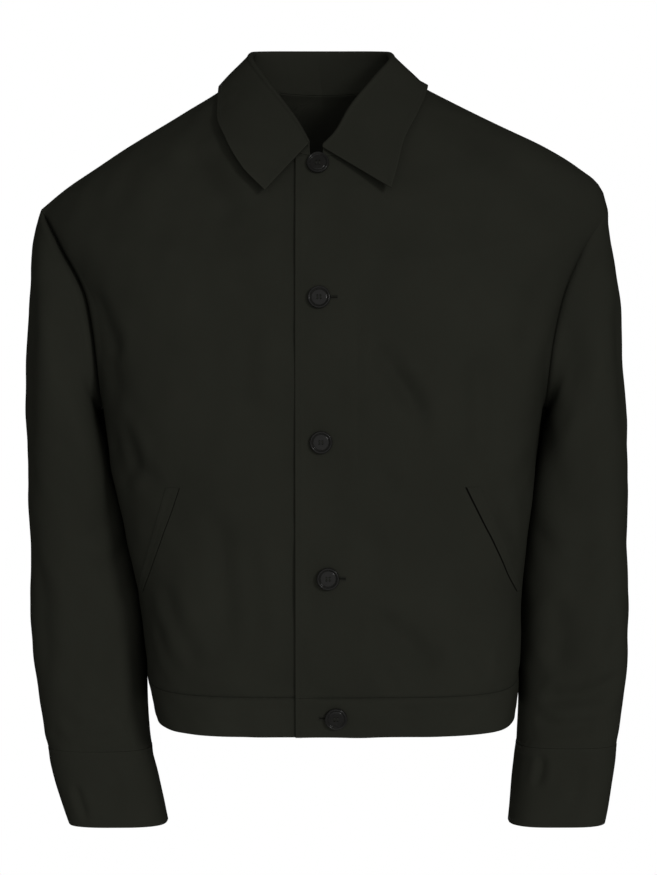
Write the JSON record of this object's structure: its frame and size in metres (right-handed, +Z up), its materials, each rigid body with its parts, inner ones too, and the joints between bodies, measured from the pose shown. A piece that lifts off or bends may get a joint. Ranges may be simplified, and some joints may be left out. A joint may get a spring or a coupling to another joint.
{
  "type": "shirt jacket",
  "caption": "Boxy shirt jacket with a turned-down collar, buttoned front, slanted welt pockets, cuffs and a hem band, hollow as if worn.",
  "frame": {"origin": "middle of the neck opening, just below the height where the shoulder seams meet the collar", "axes": "+Z up towards the collar, the front faces -Y, the wearer's left side is at +X"},
  "size_m": [0.5559, 0.2757, 0.7122],
  "materials": {
    "cloth": "dry, closely woven cotton twill, dark olive black",
    "button": "polished, with a raised rim and a dished middle"
  },
  "bodies": {
    "root": {"front_left": "cloth", "front_right": "cloth", "back": "cloth", "sleeve_left": "cloth", "sleeve_right": "cloth", "cuff_left": "cloth", "cuff_right": "cloth", "hem_band": "cloth", "collar": "cloth", "pocket_welt_left": "cloth", "pocket_welt_right": "cloth", "button_1": "button", "button_2": "button", "button_3": "button", "button_4": "button", "button_5": "button"}
  },
  "joints": []
}
